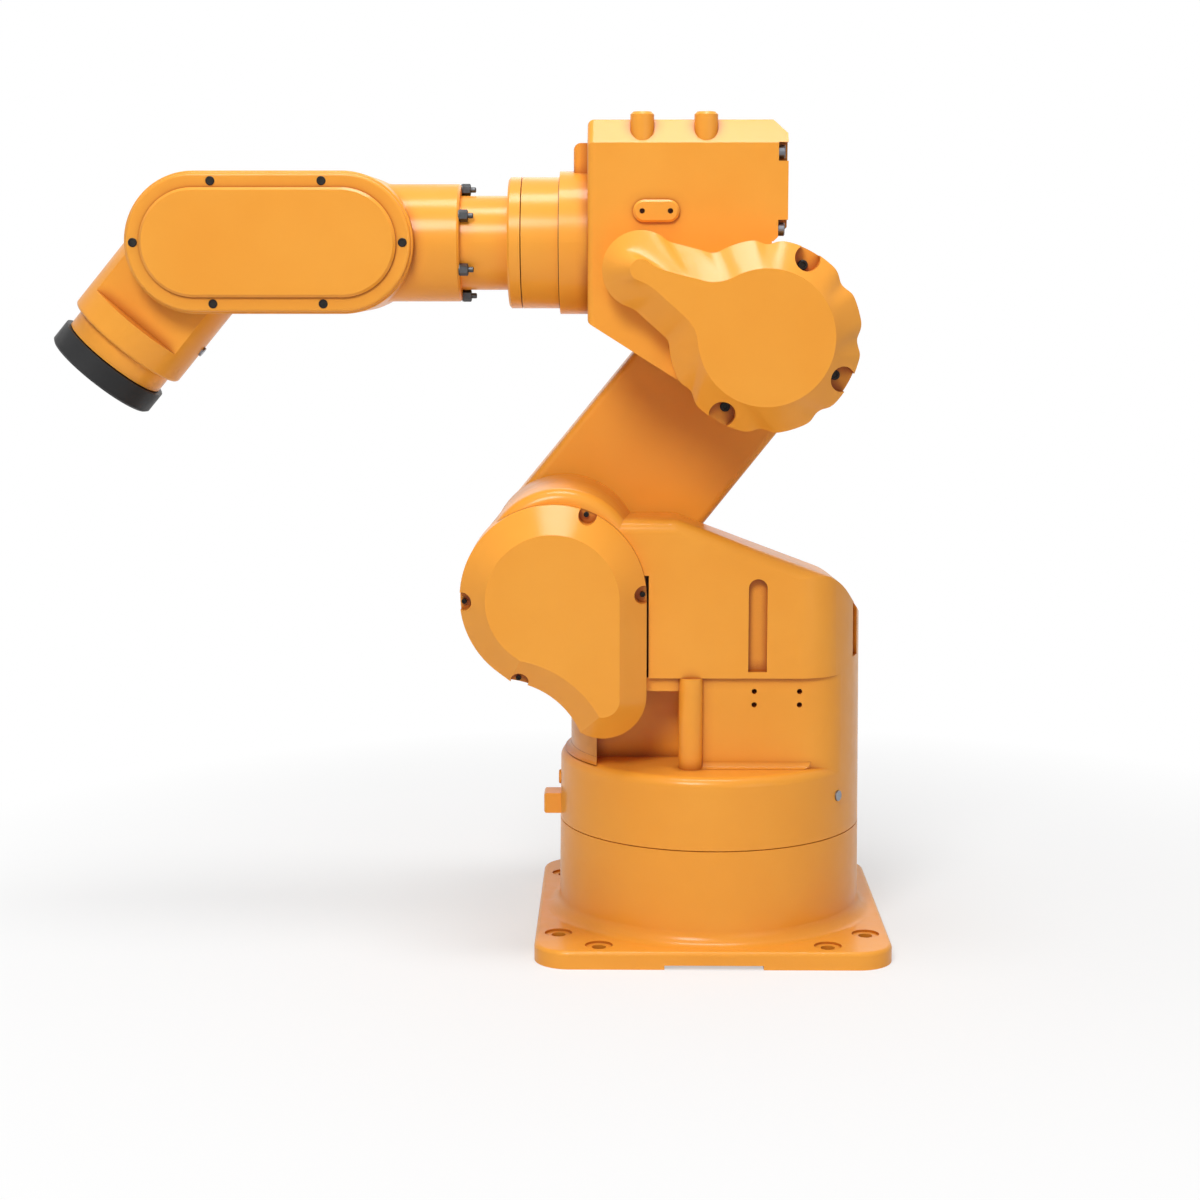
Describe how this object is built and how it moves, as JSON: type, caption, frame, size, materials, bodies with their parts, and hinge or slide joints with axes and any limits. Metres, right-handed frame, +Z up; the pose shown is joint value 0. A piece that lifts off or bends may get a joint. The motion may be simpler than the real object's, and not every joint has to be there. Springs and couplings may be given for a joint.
{
  "type": "industrial robot arm",
  "caption": "Floor-standing articulated robot arm with a turning waist, a leaning arm, a bevelled elbow housing, a rolling forearm, a tilting wrist and a round tool flange.",
  "frame": {"origin": "on the turning axis at the underside of the base", "axes": "+Z up along the turning axis, +X forward over the wrist, +Y to the side that carries the shoulder and elbow covers"},
  "size_m": [0.801, 0.336, 0.786],
  "materials": {
    "orange_paint": "semi-gloss",
    "black_oxide": "satin",
    "grey_steel": "satin",
    "cover_plastic": "semi-gloss"
  },
  "bodies": {
    "base": {"base_casting": "orange_paint"},
    "waist": {"waist_casting": "orange_paint", "waist_stop_block": "orange_paint", "waist_plug": "grey_steel", "shoulder_cover": "cover_plastic", "shoulder_reducer_ring": "grey_steel"},
    "upper_arm": {"upper_arm": "orange_paint", "arm_shoulder_cap": "orange_paint", "arm_elbow_cap": "orange_paint"},
    "elbow": {"elbow_housing": "orange_paint", "elbow_reducer_ring": "grey_steel", "elbow_cover": "cover_plastic", "elbow_rear_cover": "orange_paint", "roll_fixed_ring": "orange_paint"},
    "forearm": {"roll_turning_ring": "orange_paint", "forearm_neck": "orange_paint", "wrist_body": "orange_paint", "wrist_cover_near": "cover_plastic", "wrist_cover_far": "cover_plastic"},
    "wrist": {"tilt_body": "orange_paint", "tilt_plug": "grey_steel", "tilt_neck_ring": "orange_paint"},
    "tool_flange": {"tool_flange": "black_oxide"}
  },
  "joints": [
    {"name": "j1_turn", "type": "hinge", "parent": "base", "child": "waist", "pos_m": [0, 0, 0.1065], "axis": [0, 0, 1], "range_deg": [-170, 170]},
    {"name": "j2_shoulder", "type": "hinge", "parent": "waist", "child": "upper_arm", "pos_m": [0.15, -0.055, 0.34], "axis": [0, 1, 0], "range_deg": [-20, 124]},
    {"name": "j3_elbow", "type": "hinge", "parent": "upper_arm", "child": "elbow", "pos_m": [-0.04509, -0.055, 0.58091], "axis": [0, -1, 0], "range_deg": [-30, 124]},
    {"name": "j4_roll", "type": "hinge", "parent": "elbow", "child": "forearm", "pos_m": [0.1815, 0, 0.66692], "axis": [1, 0, 0], "range_deg": [-180, 180]},
    {"name": "j5_tilt", "type": "hinge", "parent": "forearm", "child": "wrist", "pos_m": [0.48491, 0, 0.66692], "axis": [0, -1, 0], "range_deg": [-65, 165]},
    {"name": "j6_spin", "type": "hinge", "parent": "wrist", "child": "tool_flange", "pos_m": [0.57651, 0, 0.55775], "axis": [0.6428, 0, -0.766], "range_deg": [-360, 360]}
  ]
}
